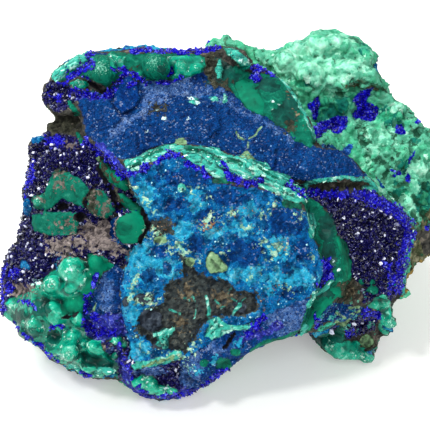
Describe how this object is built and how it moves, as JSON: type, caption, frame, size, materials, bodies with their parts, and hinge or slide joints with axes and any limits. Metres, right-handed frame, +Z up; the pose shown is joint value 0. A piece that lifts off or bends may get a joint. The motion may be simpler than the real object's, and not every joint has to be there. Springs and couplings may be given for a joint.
{
  "type": "azurite and malachite specimen",
  "caption": "Free-standing mineral specimen of blue azurite druses and green banded and botryoidal malachite on brown ore matrix, one solid rock with a flat base.",
  "frame": {"origin": "a point of the flat base that the rock rests on, under its middle", "axes": "+Z up; +X to the right of the front face, along the longest extent; the front faces -Y"},
  "size_m": [0.1339, 0.1087, 0.0903],
  "materials": {
    "azurite_malachite": "crystalline azurite and malachite crusts on rough matrix"
  },
  "bodies": {
    "root": {"azurite_malachite_rock": "azurite_malachite"}
  },
  "joints": []
}
